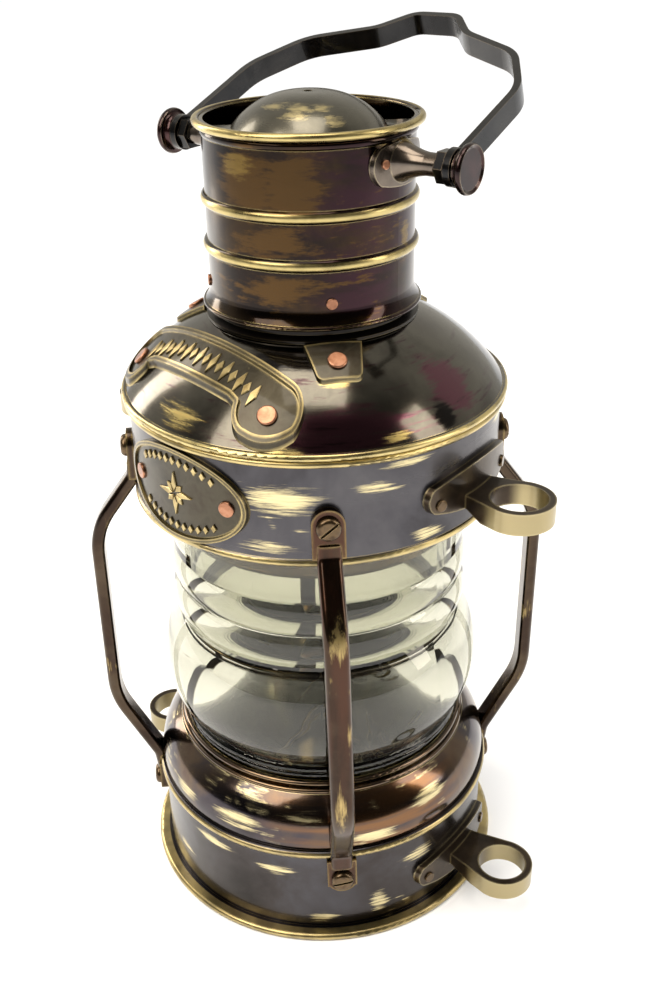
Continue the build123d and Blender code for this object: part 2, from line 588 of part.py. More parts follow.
nodes = {
    "foot_pan": foot_pan,
    "base_wall": base_wall,
    "base_shoulder": base_shoulder,
    "gallery_ring": gallery_ring,
    "lower_gasket": lower_gasket,
    "lens": lens,
    "upper_gasket": upper_gasket,
    "upper_lens_ring": upper_lens_ring,
    "drum_shell": drum_shell,
    "dome_cover": dome_cover,
    "draught_cone": draught_cone,
    "neck_collar": neck_collar,
    "chimney": chimney,
    "chimney_rivets": chimney_rivets,
    "wind_baffle": wind_baffle,
    "cap_bracket": cap_bracket,
    "cap_bolt": cap_bolt,
    "vent_cap": vent_cap,
    "neck_tab_rivets": neck_tab_rivets,
    "arched_plate": arched_plate,
    "oval_plate": oval_plate,
    "plate_rivets": plate_rivets,
    "guard_screws_upper": guard_screws_upper,
    "guard_screws_lower": guard_screws_lower,
    "guard_nuts": guard_nuts,
    "eye_rivets": eye_rivets,
    "bail_bracket_rivets": bail_bracket_rivets,
    "bail": bail,
    "font_tray": font_tray,
    "tray_grip": tray_grip,
    "oil_font": oil_font,
    "filler_cap": filler_cap,
    "burner_collar": burner_collar,
    "burner_body": burner_body,
    "flame_tube": flame_tube,
    "wick_tube": wick_tube,
    "wick": wick,
    "wick_spindle": wick_spindle,
    "wick_knob": wick_knob,
}
nodes.update(eyes)
for side in ("right", "left"):
    nodes[f"bail_bracket_{side}"] = bail_brackets[side]
    nodes[f"bail_nut_{side}"] = bail_nuts[side]
    nodes[f"bail_screw_{side}"] = bail_screws[side]
for number, tab in enumerate(neck_tabs, start=1):
    nodes[f"neck_tab_{number}"] = tab
for number, guard in enumerate(guards, start=1):
    nodes[f"guard_{number}"] = guard
for node, shape in nodes.items():
    save(node, shape)
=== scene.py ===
"""Ship's anchor lantern: materials, relief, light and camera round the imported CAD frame."""

import math

import bmesh
import bpy
from mathutils import Euler, Matrix, Vector


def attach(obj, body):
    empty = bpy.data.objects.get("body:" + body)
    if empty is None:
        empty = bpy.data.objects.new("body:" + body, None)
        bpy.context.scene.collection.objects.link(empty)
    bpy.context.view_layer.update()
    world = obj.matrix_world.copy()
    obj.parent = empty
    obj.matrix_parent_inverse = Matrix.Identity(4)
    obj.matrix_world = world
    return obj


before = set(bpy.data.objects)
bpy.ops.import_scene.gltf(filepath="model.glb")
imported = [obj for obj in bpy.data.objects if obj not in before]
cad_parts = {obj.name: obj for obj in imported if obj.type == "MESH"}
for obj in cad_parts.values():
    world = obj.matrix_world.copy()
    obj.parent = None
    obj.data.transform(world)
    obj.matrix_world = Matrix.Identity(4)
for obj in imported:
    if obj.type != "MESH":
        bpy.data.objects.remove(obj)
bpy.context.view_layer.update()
MM = 0.001
scene = bpy.context.scene


# ---------------------------------------------------------------- material toolkit
# Sockets of the Mix node, which share their names between its number and colour forms
MIX_NUMBER_A, MIX_NUMBER_B, MIX_NUMBER = 2, 3, 0
MIX_COLOUR_A, MIX_COLOUR_B, MIX_COLOUR = 6, 7, 2

SPOT_DEPTH = 2          # a spot reaches this much deeper than wide, so a curved wall stays inside


class Look:
    """One procedural material. Points are the lantern's own coordinates, in metres."""

    def __init__(self, name):
        self.material = bpy.data.materials.new(name)
        self.material.use_nodes = True
        self.tree = self.material.node_tree
        self.shader = self.tree.nodes["Principled BSDF"]
        self.point = self.node("ShaderNodeTexCoord").outputs["Object"]
        self.heights = []

    def node(self, kind, **settings):
        made = self.tree.nodes.new(kind)
        for key, value in settings.items():
            setattr(made, key, value)
        return made

    def feed(self, socket, value):
        """Links a socket, or sets it when the value is plain."""
        if isinstance(value, bpy.types.NodeSocket):
            self.tree.links.new(value, socket)
        elif isinstance(value, tuple) and len(value) == 3 and socket.type == "RGBA":
            socket.default_value = (*value, 1.0)
        else:
            socket.default_value = value

    def set(self, **values):
        """Sets or links sockets of the surface shader, named with underscores."""
        for key, value in values.items():
            self.feed(self.shader.inputs[key.replace("_", " ")], value)

    def calc(self, operation, a, b=0.0):
        made = self.node("ShaderNodeMath", operation=operation)
        self.feed(made.inputs[0], a)
        self.feed(made.inputs[1], b)
        return made.outputs[0]

    def noise(self, size, stretch=(1, 1, 1), detail=4.0, rough=0.55, warp=0.0, seed=0.0):
        """Noise whose features are about size metres; stretch lengthens them along an axis."""
        scaled = self.node("ShaderNodeVectorMath", operation="MULTIPLY")
        self.feed(scaled.inputs[0], self.point)
        scaled.inputs[1].default_value = tuple(1.0 / (size * s) for s in stretch)
        made = self.node("ShaderNodeTexNoise", noise_dimensions="4D")
        self.feed(made.inputs["Vector"], scaled.outputs[0])
        made.inputs["W"].default_value = seed
        made.inputs["Scale"].default_value = 1.0
        made.inputs["Detail"].default_value = detail
        made.inputs["Roughness"].default_value = rough
        made.inputs["Distortion"].default_value = warp
        return made.outputs["Fac"]

    def fade(self, value, start, end):
        """0 at start, 1 at end, smooth between; start may be above end."""
        made = self.node("ShaderNodeMapRange", interpolation_type="SMOOTHSTEP")
        self.feed(made.inputs["Value"], value)
        low, high = (0.0, 1.0) if start < end else (1.0, 0.0)
        made.inputs["From Min"].default_value = min(start, end)
        made.inputs["From Max"].default_value = max(start, end)
        made.inputs["To Min"].default_value = low
        made.inputs["To Max"].default_value = high
        return made.outputs["Result"]

    def ramp(self, value, *stops):
        """A colour ramp from (place, (r, g, b)) stops."""
        made = self.node("ShaderNodeValToRGB")
        self.feed(made.inputs["Fac"], value)
        elements = made.color_ramp.elements
        while len(elements) < len(stops):
            elements.new(0.5)
        for element, (place, colour) in zip(elements, stops):
            element.position = place
            element.color = (*colour, 1.0)
        return made.outputs["Color"]

    def mix(self, factor, a, b):
        """A colour between a and b."""
        made = self.node("ShaderNodeMix", data_type="RGBA")
        self.feed(made.inputs["Factor"], factor)
        self.feed(made.inputs[MIX_COLOUR_A], a)
        self.feed(made.inputs[MIX_COLOUR_B], b)
        return made.outputs[MIX_COLOUR]

    def blend(self, factor, a, b):
        """A number between a and b."""
        made = self.node("ShaderNodeMix", data_type="FLOAT")
        self.feed(made.inputs["Factor"], factor)
        self.feed(made.inputs[MIX_NUMBER_A], a)
        self.feed(made.inputs[MIX_NUMBER_B], b)
        return made.outputs[MIX_NUMBER]

    def flat_point(self):
        """The point with its height removed."""
        made = self.node("ShaderNodeVectorMath", operation="MULTIPLY")
        self.feed(made.inputs[0], self.point)
        made.inputs[1].default_value = (1, 1, 0)
        return made.outputs[0]

    def radius(self):
        """Distance from the lantern's axis."""
        made = self.node("ShaderNodeVectorMath", operation="LENGTH")
        self.feed(made.inputs[0], self.flat_point())
        return made.outputs["Value"]

    def height(self):
        made = self.node("ShaderNodeSeparateXYZ")
        self.feed(made.inputs[0], self.point)
        return made.outputs["Z"]

    def facing_up(self):
        """1 on faces that look straight up or down, 0 on upright walls."""
        geometry = self.node("ShaderNodeNewGeometry")
        made = self.node("ShaderNodeSeparateXYZ")
        self.feed(made.inputs[0], geometry.outputs["Normal"])
        return self.calc("ABSOLUTE", made.outputs["Z"])

    def spokes(self, count, seed=0.0):
        """Noise that varies round the lantern's axis only."""
        unit = self.node("ShaderNodeVectorMath", operation="NORMALIZE")
        self.feed(unit.inputs[0], self.flat_point())
        made = self.node("ShaderNodeTexNoise", noise_dimensions="4D")
        self.feed(made.inputs["Vector"], unit.outputs[0])
        made.inputs["W"].default_value = seed
        made.inputs["Scale"].default_value = count
        made.inputs["Detail"].default_value = 1.0
        return made.outputs["Fac"]

    def toward(self, azimuth):
        """1 on the side facing the azimuth, 0 a quarter turn away, -1 behind."""
        unit = self.node("ShaderNodeVectorMath", operation="NORMALIZE")
        self.feed(unit.inputs[0], self.flat_point())
        made = self.node("ShaderNodeVectorMath", operation="DOT_PRODUCT")
        self.feed(made.inputs[0], unit.outputs[0])
        a = math.radians(azimuth)
        made.inputs[1].default_value = (math.cos(a), math.sin(a), 0)
        return made.outputs["Value"]

    def spot(self, azimuth, height, half_wide, half_tall, radius):
        """A soft patch, 1 in its middle, at a place on the lantern; lengths in millimetres."""
        a = math.radians(azimuth)
        centre = Vector((math.cos(a) * radius, math.sin(a) * radius, height)) * MM
        shift = self.node("ShaderNodeVectorMath", operation="SUBTRACT")
        self.feed(shift.inputs[0], self.point)
        shift.inputs[1].default_value = centre
        turn = self.node("ShaderNodeVectorRotate", rotation_type="Z_AXIS")
        self.feed(turn.inputs["Vector"], shift.outputs[0])
        turn.inputs["Angle"].default_value = -a
        scaled = self.node("ShaderNodeVectorMath", operation="DIVIDE")
        self.feed(scaled.inputs[0], turn.outputs[0])
        scaled.inputs[1].default_value = (SPOT_DEPTH * half_wide * MM, half_wide * MM, half_tall * MM)
        length = self.node("ShaderNodeVectorMath", operation="LENGTH")
        self.feed(length.inputs[0], scaled.outputs[0])
        return self.fade(length.outputs["Value"], 1.25, 0.15)

    def edges(self, width):
        """About 1 along sharp outside edges."""
        bevel = self.node("ShaderNodeBevel", samples=4)
        bevel.inputs["Radius"].default_value = width
        geometry = self.node("ShaderNodeNewGeometry")
        dot = self.node("ShaderNodeVectorMath", operation="DOT_PRODUCT")
        self.feed(dot.inputs[0], bevel.outputs["Normal"])
        self.feed(dot.inputs[1], geometry.outputs["Normal"])
        return self.fade(dot.outputs["Value"], 0.985, 0.86)

    def bump(self, height, depth, strength=1.0):
        """Adds a bump layer; depth in metres."""
        made = self.node("ShaderNodeBump")
        made.inputs["Strength"].default_value = strength
        made.inputs["Distance"].default_value = depth
        self.feed(made.inputs["Height"], height)
        if self.heights:
            self.feed(made.inputs["Normal"], self.heights[-1])
        self.heights.append(made.outputs["Normal"])
        self.feed(self.shader.inputs["Normal"], made.outputs["Normal"])


MARK_DEPTH = 3.2        # how strongly the brush marks break up a rubbed patch
PATCH_STRENGTH = 0.6    # the scattered patches are rubbed less than the placed spots
STROKE_SHADE = 0.62     # brightness of the darker brush strokes in rubbed gold
RUBBED_ROUGHNESS = 0.33
COAT_ROUGHNESS = 0.06
GOLD = (0.78, 0.60, 0.22)
PALE_GOLD = (0.86, 0.74, 0.42)


def aged_brass(name, stops, size=0.045, patch=(0.60, 0.68), gold=GOLD, rough=(0.18, 0.34),
               brushed=(1, 1, 0.12), spots=(), tints=(), washes=(), bead=None, far_end_sheen=None, coat=0.6,
               wear=0.7 * MM, worn=0.75, petals=None, seed=0.0):
    """Dark-lacquered brass, rubbed back to gold in brushed patches, on its beads and on its edges.

    stops: the dark lacquer's ramp. size: its clouds. patch: noise range where scattered rubbed
    patches start and are full. rough: the lacquer's lowest and highest roughness.
    brushed: how the brush marks stretch. spots: (azimuth, height, half width, half height, radius)
    of the larger rubbed places. tints: (azimuth, start, full, colour) washes on one side.
    washes: (place as in spots, colour) of streaky stains.
    bead: start and full radius and lowest height, in mm, and colour of rolled beads rubbed bright.
    far_end_sheen: start and full radius, in mm, and colour of a painted sheen: the upright faces of a
    casting's far end are painted lighter than its tops, as if lit from the side.
    wear: width of the worn edges. worn: how strongly they are rubbed.
    petals: colour of streaks that run out from the axis.
    """
    look = Look(name)
    cloud = look.noise(size, detail=5.0, rough=0.6, warp=0.4, seed=seed)
    colour = look.ramp(cloud, *stops)
    for azimuth, start, full, tint in tints:
        side = look.fade(look.toward(azimuth), start, full)
        patchy = look.fade(look.noise(size * 0.5, stretch=brushed, seed=seed + 7), 0.36, 0.62)
        colour = look.mix(look.calc("MULTIPLY", side, patchy), colour, tint)
    if petals:
        colour = look.mix(look.fade(look.spokes(5.0, seed), 0.48, 0.58), colour, petals)
    # painted sheen: beyond the given radius, upright faces get a lighter colour than faces looking up or
    # down, standing in for light falling on the sides
    if far_end_sheen:
        lit_sides_mask = look.fade(look.radius(), far_end_sheen[0] * MM, far_end_sheen[1] * MM)
        lit_sides_mask = look.calc("MULTIPLY", lit_sides_mask, look.fade(look.facing_up(), 0.75, 0.25))
        colour = look.mix(lit_sides_mask, colour, far_end_sheen[2])
    stroke = look.noise(0.008, stretch=brushed, detail=7.0, rough=0.72, seed=seed + 2)
    marks = look.calc("MULTIPLY", look.calc("SUBTRACT", stroke, 0.5), MARK_DEPTH)
    for spot, stain in washes:
        streaky = look.fade(look.calc("ADD", look.spot(*spot), marks), 0.15, 0.75)
        colour = look.mix(streaky, colour, stain)
    rubbed = look.fade(look.noise(size * 0.55, detail=3.0, seed=seed + 4), *patch)
    rubbed = look.calc("MULTIPLY", rubbed, PATCH_STRENGTH)
    for spot in spots:
        rubbed = look.calc("MAXIMUM", rubbed, look.spot(*spot))
    rubbed = look.fade(look.calc("ADD", rubbed, marks), 0.50, 1.15)
    grime = look.fade(look.noise(0.012, detail=4.0, seed=seed + 5), 0.30, 0.62)
    shade = look.noise(0.006, stretch=brushed, detail=3.0, seed=seed + 6)
    bright = look.mix(shade, tuple(c * STROKE_SHADE for c in gold), gold)
    colour = look.mix(rubbed, colour, bright)
    edge = look.calc("MULTIPLY", look.edges(wear), look.blend(grime, 0.45, 1.0))
    edge = look.calc("MULTIPLY", edge, worn)
    if bead:
        start, full, lowest, bead_gold = bead
        on_bead = look.fade(look.radius(), start * MM, full * MM)
        above = look.fade(look.height(), (lowest - 1) * MM, (lowest + 1) * MM)
        on_bead = look.calc("MULTIPLY", on_bead, above)
        edge = look.calc("MAXIMUM", edge, look.calc("MULTIPLY", on_bead, look.blend(grime, 0.50, 1.0)))
        bright = look.mix(shade, tuple(c * STROKE_SHADE for c in bead_gold), bead_gold)
    colour = look.mix(edge, colour, bright)
    look.set(Base_Color=colour, Metallic=1.0, Coat_Weight=coat, Coat_Roughness=COAT_ROUGHNESS)
    smear = look.noise(0.02, stretch=brushed, detail=5.0, seed=seed + 8)
    dull = look.blend(smear, rough[0], rough[1])
    look.set(Roughness=look.blend(look.calc("MAXIMUM", rubbed, edge), dull, RUBBED_ROUGHNESS))
    look.bump(look.noise(0.022, detail=2.0, seed=seed + 9), 0.00045, 0.5)
    look.bump(stroke, 0.00004, 0.5)
    return look.material


# Dark lacquer colours
BLACK = (0.008, 0.006, 0.005)
BROWN = (0.028, 0.015, 0.009)
VIOLET = (0.042, 0.013, 0.021)
PLUM = (0.115, 0.042, 0.058)
SLATE = (0.062, 0.060, 0.068)
OLIVE = (0.140, 0.126, 0.088)
AMBER = (0.066, 0.034, 0.009)

FRONT = -53             # azimuth of the side that faces the camera

chimney_look = aged_brass(
    "chimney_lacquer",
    [(0.30, BLACK), (0.44, (0.014, 0.008, 0.006)), (0.55, (0.03, 0.017, 0.007)), (0.7, BROWN), (0.76, BLACK)],
    size=0.030, patch=(0.70, 0.80), gold=(0.20, 0.125, 0.030), rough=(0.10, 0.20), brushed=(2.0, 2.0, 0.5),
    spots=[(-94, 346, 11, 8, 42), (7, 316, 5, 8, 42)],
    washes=[((-90, 340, 16, 16, 42), AMBER), ((-62, 340, 15, 15, 42), AMBER), ((-72, 318, 20, 7, 42), AMBER),
            ((-70, 300, 20, 7, 42), AMBER)],
    tints=[(0, 0.35, 0.9, (0.026, 0.009, 0.014))],
    bead=(43.1, 43.65, 300, (0.62, 0.50, 0.21)), coat=0.25, seed=1.0,
)
dome_look = aged_brass(
    "dome_lacquer",
    [(0.28, (0.034, 0.030, 0.022)), (0.48, (0.100, 0.092, 0.074)), (0.66, (0.06, 0.05, 0.042)), (0.8, BROWN)],
    size=0.040, patch=(0.68, 0.80), rough=(0.09, 0.20), brushed=(3.0, 3.0, 0.25),
    spots=[(-98, 256, 18, 6, 75), (-30, 253, 10, 3, 79), (-62, 251, 12, 2, 80), (-46, 270, 9, 2.5, 58)],
    washes=[((-44, 256, 36, 9, 75), PLUM), ((-4, 262, 14, 12, 69), PLUM), ((-12, 255, 6, 6, 76), BLACK),
            ((-56, 276, 26, 4, 48), BLACK)],
    bead=(81.3, 82.0, 240, (0.74, 0.60, 0.26)), coat=0.35, seed=3.0,
)
drum_look = aged_brass(
    "drum_lacquer",
    [(0.28, (0.026, 0.024, 0.027)), (0.45, SLATE), (0.60, (0.088, 0.085, 0.092)), (0.78, (0.05, 0.04, 0.03))],
    size=0.050, patch=(0.64, 0.74), gold=PALE_GOLD, rough=(0.22, 0.36), brushed=(3.0, 3.0, 0.16),
    spots=[(-63, 230, 25, 9, 80), (-36, 233, 14, 4, 80), (-67, 209, 16, 4, 80), (-20, 208, 12, 4, 80),
           (-28, 242, 16, 3, 80), (20, 240, 12, 4, 80), (90, 225, 22, 8, 80), (150, 215, 18, 6, 80)],
    bead=(80.2, 80.6, 190, (0.70, 0.56, 0.25)), coat=0.2, seed=5.0,
)
base_look = aged_brass(
    "base_lacquer",
    [(0.28, (0.014, 0.011, 0.01)), (0.45, (0.04, 0.034, 0.034)), (0.6, SLATE), (0.78, (0.04, 0.024, 0.016))],
    size=0.045, patch=(0.62, 0.72), gold=PALE_GOLD, rough=(0.18, 0.30), brushed=(3.0, 3.0, 0.2),
    spots=[(-70, 37, 13, 4, 80), (-35, 14, 7, 10, 80), (-54, 9, 10, 4, 80), (-95, 40, 16, 4, 80),
           (-110, 20, 12, 4, 80), (-20, 36, 12, 5, 80), (80, 30, 20, 8, 80), (160, 24, 16, 6, 80)],
    bead=(81.3, 81.9, 0, (0.62, 0.49, 0.22)), coat=0.25, seed=8.0,
)
shoulder_look = aged_brass(
    "shoulder_lacquer",
    [(0.28, (0.020, 0.015, 0.018)), (0.45, (0.05, 0.042, 0.05)), (0.6, (0.11, 0.075, 0.05)), (0.78, VIOLET)],
    size=0.035, patch=(0.50, 0.62), gold=PALE_GOLD, rough=(0.10, 0.20), brushed=(4.0, 4.0, 0.25),
    spots=[(-82, 61, 20, 6, 79), (-15, 66, 16, 6, 77), (-60, 67, 14, 4, 75), (-108, 60, 14, 5, 79),
           (-36, 57, 16, 4, 79), (75, 64, 20, 6, 77), (160, 62, 16, 6, 77)],
    tints=[(-36, 0.72, 0.98, (0.17, 0.085, 0.038))], coat=0.35, seed=11.0,
)
ring_look = aged_brass(
    "ring_lacquer",
    [(0.30, (0.04, 0.026, 0.018)), (0.50, (0.10, 0.065, 0.040)), (0.66, (0.19, 0.12, 0.055)), (0.80, BROWN)],
    size=0.030, patch=(0.58, 0.70), rough=(0.14, 0.26), brushed=(3.0, 3.0, 0.2), coat=0.7, seed=13.0,
)
neck_look = aged_brass(
    "neck_lacquer", [(0.3, BLACK), (0.7, (0.02, 0.016, 0.014))],
    patch=(0.80, 0.90), rough=(0.30, 0.5), coat=0.2, worn=0.1, seed=15.0,
)
cap_look = aged_brass(
    "cap_lacquer",
    [(0.28, (0.050, 0.046, 0.036)), (0.45, (0.10, 0.094, 0.074)), (0.62, (0.15, 0.14, 0.112)), (0.8, OLIVE)],
    size=0.030, patch=(0.68, 0.80), gold=(0.60, 0.50, 0.26), rough=(0.20, 0.34), brushed=(2.0, 2.0, 0.3),
    spots=[(-62, 362, 9, 4, 19), (-40, 363, 7, 3, 13), (-95, 363, 9, 3, 12), (-30, 359, 7, 3, 24)],
    coat=0.3, seed=17.0,
)
guard_look = aged_brass(
    "guard_lacquer",
    [(0.28, (0.014, 0.01, 0.007)), (0.44, BROWN), (0.58, (0.06, 0.04, 0.024)), (0.75, (0.075, 0.066, 0.056))],
    size=0.040, patch=(0.52, 0.68), gold=(0.50, 0.37, 0.15), rough=(0.16, 0.30), brushed=(0.4, 0.4, 3.5),
    spots=[(-49, 182, 5, 16, 102), (-49, 95, 4, 20, 104)],
    tints=[(FRONT, 0.9, 1.0, (0.055, 0.024, 0.014))], coat=0.3, wear=1.9 * MM, worn=0.60, seed=19.0,
)
eye_look = aged_brass(
    "eye_casting",
    [(0.28, (0.02, 0.015, 0.01)), (0.46, (0.045, 0.032, 0.022)), (0.62, (0.075, 0.055, 0.036)), (0.8, BROWN)],
    size=0.022, patch=(0.62, 0.76), gold=(0.60, 0.51, 0.30), rough=(0.26, 0.42), brushed=(1, 1, 1),
    # painted sheen: the upright faces of the eyes' far ends are coloured lighter than their tops
    far_end_sheen=(92, 98, (0.36, 0.30, 0.165)), coat=0.2, wear=1.5 * MM, worn=0.9, seed=21.0,
)
ear_look = aged_brass(
    "ear_lacquer",
    [(0.30, (0.060, 0.046, 0.036)), (0.5, (0.13, 0.105, 0.085)), (0.7, (0.20, 0.165, 0.13))],
    size=0.020, patch=(0.7, 0.8), gold=(0.66, 0.56, 0.38), rough=(0.16, 0.28), brushed=(1, 1, 1),
    coat=0.4, wear=1.0 * MM, worn=0.9, seed=23.0,
)
plate_look = aged_brass(
    "plate_etched",
    [(0.30, (0.026, 0.022, 0.015)), (0.5, (0.062, 0.054, 0.038)), (0.7, (0.040, 0.030, 0.020))],
    size=0.015, patch=(0.72, 0.84), gold=(0.66, 0.52, 0.23), rough=(0.28, 0.44), brushed=(1, 1, 1),
    coat=0.3, wear=1.7 * MM, worn=1.0, seed=25.0,
)
relief_look = aged_brass(
    "plate_relief",
    [(0.30, (0.20, 0.145, 0.060)), (0.5, (0.40, 0.31, 0.14)), (0.7, (0.56, 0.45, 0.22))],
    size=0.006, patch=(0.5, 0.7), gold=(0.74, 0.61, 0.32), rough=(0.24, 0.40), brushed=(1, 1, 1),
    coat=0.2, wear=0.5 * MM, seed=27.0,
)
copper_look = aged_brass(
    "copper_rivet",
    [(0.30, (0.20, 0.085, 0.045)), (0.5, (0.38, 0.175, 0.10)), (0.7, (0.48, 0.25, 0.155))],
    size=0.004, patch=(0.6, 0.8), gold=(0.60, 0.36, 0.235), rough=(0.26, 0.42), brushed=(1, 1, 1),
    coat=0.3, wear=0.4 * MM, seed=29.0,
)
screw_look = aged_brass(
    "screw_worn",
    [(0.30, (0.045, 0.027, 0.015)), (0.5, (0.120, 0.078, 0.040)), (0.7, (0.075, 0.050, 0.030))],
    size=0.005, patch=(0.56, 0.72), gold=(0.52, 0.40, 0.19), rough=(0.24, 0.40), brushed=(1, 1, 1),
    coat=0.3, wear=0.5 * MM, seed=31.0,
)
black_look = aged_brass(
    "black_enamel",
    [(0.30, (0.008, 0.008, 0.009)), (0.5, (0.018, 0.018, 0.019)), (0.7, (0.034, 0.032, 0.030))],
    size=0.025, patch=(0.66, 0.80), gold=(0.17, 0.13, 0.09), rough=(0.20, 0.36), brushed=(1, 1, 1),
    coat=0.3, wear=0.8 * MM, worn=0.7, seed=33.0,
)
knob_look = aged_brass(
    "knob_enamel",
    [(0.30, (0.012, 0.008, 0.008)), (0.5, (0.040, 0.018, 0.018)), (0.7, (0.080, 0.032, 0.030))],
    size=0.014, patch=(0.74, 0.84), gold=(0.36, 0.30, 0.22), rough=(0.16, 0.30), brushed=(1, 1, 1),
    coat=0.35, wear=0.8 * MM, worn=0.9, seed=35.0,
)
burner_look = aged_brass(
    "burner_brass",
    [(0.30, (0.030, 0.020, 0.012)), (0.5, (0.070, 0.050, 0.028)), (0.7, (0.105, 0.078, 0.045))],
    size=0.020, patch=(0.66, 0.80), gold=(0.50, 0.38, 0.16), rough=(0.16, 0.30), brushed=(2.0, 2.0, 0.3),
    coat=0.3, seed=37.0,
)
font_look = aged_brass(
    "font_brass",
    [(0.30, (0.012, 0.009, 0.007)), (0.5, (0.026, 0.020, 0.015)), (0.7, (0.045, 0.034, 0.024))],
    size=0.020, patch=(0.70, 0.84), gold=(0.40, 0.30, 0.13), rough=(0.14, 0.26), brushed=(2.0, 2.0, 0.3),
    petals=(0.13, 0.12, 0.095), coat=0.0, seed=38.0,
)
flame_tube_look = aged_brass(
    "heat_browned",
    [(0.30, (0.028, 0.015, 0.009)), (0.5, (0.085, 0.046, 0.020)), (0.7, (0.140, 0.080, 0.030))],
    size=0.014, patch=(0.64, 0.78), gold=(0.52, 0.38, 0.15), rough=(0.24, 0.40), brushed=(2.0, 2.0, 0.3),
    coat=0.2, seed=39.0,
)


def glass():
    """Thick pressed glass, smoky olive, with the slight ripple of a mould."""
    look = Look("lens_glass")
    tone = look.ramp(look.noise(0.05, detail=2.0), (0.3, (0.52, 0.52, 0.42)), (0.7, (0.62, 0.62, 0.52)))
    smudge = look.fade(look.noise(0.018, detail=5.0, rough=0.7, seed=3), 0.55, 0.80)
    look.set(Base_Color=tone, Transmission_Weight=1.0, IOR=1.49, Metallic=0.0)
    look.set(Roughness=look.blend(smudge, 0.0, 0.035))
    look.bump(look.noise(0.030, stretch=(2, 2, 0.4), detail=1.0, seed=5), 0.0004, 0.25)
    return look.material


def rubber():
    look = Look("gasket_rubber")
    dust = look.noise(0.01)
    look.set(Base_Color=look.ramp(dust, (0.3, (0.015, 0.014, 0.013)), (0.7, (0.035, 0.032, 0.03))))
    look.set(Roughness=look.blend(look.noise(0.004, seed=2), 0.55, 0.8))
    look.bump(look.noise(0.001, seed=4), 0.0001, 0.5)
    return look.material


WICK_THREADS = 420
CHAR_START, CHAR_FULL = 0.098, 0.103    # heights where the charring starts and is full, metres


def cotton():
    """A woven wick with a charred tip."""
    look = Look("wick_cotton")
    weave = look.node("ShaderNodeTexWave", bands_direction="DIAGONAL")
    look.feed(weave.inputs["Vector"], look.point)
    weave.inputs["Scale"].default_value = WICK_THREADS
    thread = weave.outputs["Fac"]
    cream = look.ramp(thread, (0.2, (0.42, 0.36, 0.27)), (0.8, (0.80, 0.74, 0.62)))
    charred = look.fade(look.height(), CHAR_START, CHAR_FULL)
    look.set(Base_Color=look.mix(charred, cream, (0.02, 0.018, 0.016)))
    look.set(Roughness=look.blend(look.noise(0.002), 0.8, 0.95))
    look.bump(thread, 0.0003, 0.8)
    return look.material


LOOKS = {
    "chimney": chimney_look, "cap_bracket": cap_look, "vent_cap": cap_look, "wind_baffle": neck_look,
    "dome_cover": dome_look, "neck_collar": neck_look, "draught_cone": neck_look,
    "drum_shell": drum_look, "upper_lens_ring": ring_look, "gallery_ring": ring_look,
    "base_wall": base_look, "foot_pan": base_look, "font_tray": base_look, "base_shoulder": shoulder_look,
    "tray_grip": eye_look, "arched_plate": plate_look, "oval_plate": plate_look,
    "bail": black_look, "oil_font": font_look, "filler_cap": burner_look, "burner_collar": burner_look,
    "burner_body": burner_look, "wick_tube": burner_look, "wick_spindle": burner_look,
    "wick_knob": burner_look, "flame_tube": flame_tube_look, "cap_bolt": screw_look,
    "guard_screws_upper": screw_look, "guard_screws_lower": screw_look, "guard_nuts": screw_look,
    "lens": glass(), "lower_gasket": rubber(), "upper_gasket": rubber(), "wick": cotton(),
}
FAMILIES = {
    "guard_": guard_look, "eye_upper": eye_look, "eye_lower": eye_look, "neck_tab_": plate_look,
    "bail_bracket_": ear_look, "bail_nut_": black_look, "bail_screw_": knob_look,
}


def look_for(node):
    if node == "eye_rivets":
        return screw_look
    if node.endswith("_rivets"):
        return copper_look
    if node in LOOKS:
        return LOOKS[node]
    return next(look for start, look in FAMILIES.items() if node.startswith(start))


for node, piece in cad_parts.items():
    piece.data.materials.clear()
    piece.data.materials.append(look_for(node))


# ---------------------------------------------------------------- relief on the nameplates
ARCH_AZ = -103.0                # directions that the two plates face, degrees
OVAL_AZ = -97.0
DRUM_FLOOR = 81.2               # radius of the oval plate's sunk face, mm
OVAL_Z = 224.0
DOME_ARC = [(81.0, 249.8), (66.0, 265.8), (42.6, 279.8)]
DOME_FLOOR = 1.42               # the arched plate's sunk face above the dome, mm
RELIEF_ROOT = -0.25             # the relief starts a little inside the plate, mm
RELIEF_HIGH = 0.75
RELIEF_SLOPE = 0.35
SHORTEST_ARM = 0.4              # keeps the inset of points near an outline's middle small, mm
SMALLEST_TOP = 0.2              # the least part of an outline's size that its top keeps


def circle_through(points):
    """Centre and radius of the circle through three points."""
    (x1, y1), (x2, y2), (x3, y3) = points
    s1, s2, s3 = (x * x + y * y for x, y in points)
    d = 2 * (x1 * (y2 - y3) + x2 * (y3 - y1) + x3 * (y1 - y2))
    cx = (s1 * (y2 - y3) + s2 * (y3 - y1) + s3 * (y1 - y2)) / d
    cy = (s1 * (x3 - x2) + s2 * (x1 - x3) + s3 * (x2 - x1)) / d
    return cx, cy, math.hypot(x1 - cx, y1 - cy)


DOME_CX, DOME_CZ, DOME_BEND = circle_through(DOME_ARC)


def on_drum(across, up, lift):
    """A point on the oval plate, from millimetres across, up and out of its sunk face."""
    a = math.radians(OVAL_AZ) + math.asin(across / DRUM_FLOOR)
    r = DRUM_FLOOR + lift
    return Vector((r * math.cos(a), r * math.sin(a), OVAL_Z + up)) * MM


def on_dome(across, out, lift):
    """A point on the arched plate, from millimetres sideways and outward in plan."""
    tilt = math.acos((math.hypot(across, out) - DOME_CX) / DOME_BEND)
    reach = DOME_BEND + DOME_FLOOR + lift
    r = DOME_CX + reach * math.cos(tilt)
    a = math.radians(ARCH_AZ) + math.atan2(across, out)
    return Vector((r * math.cos(a), r * math.sin(a), DOME_CZ + reach * math.sin(tilt))) * MM


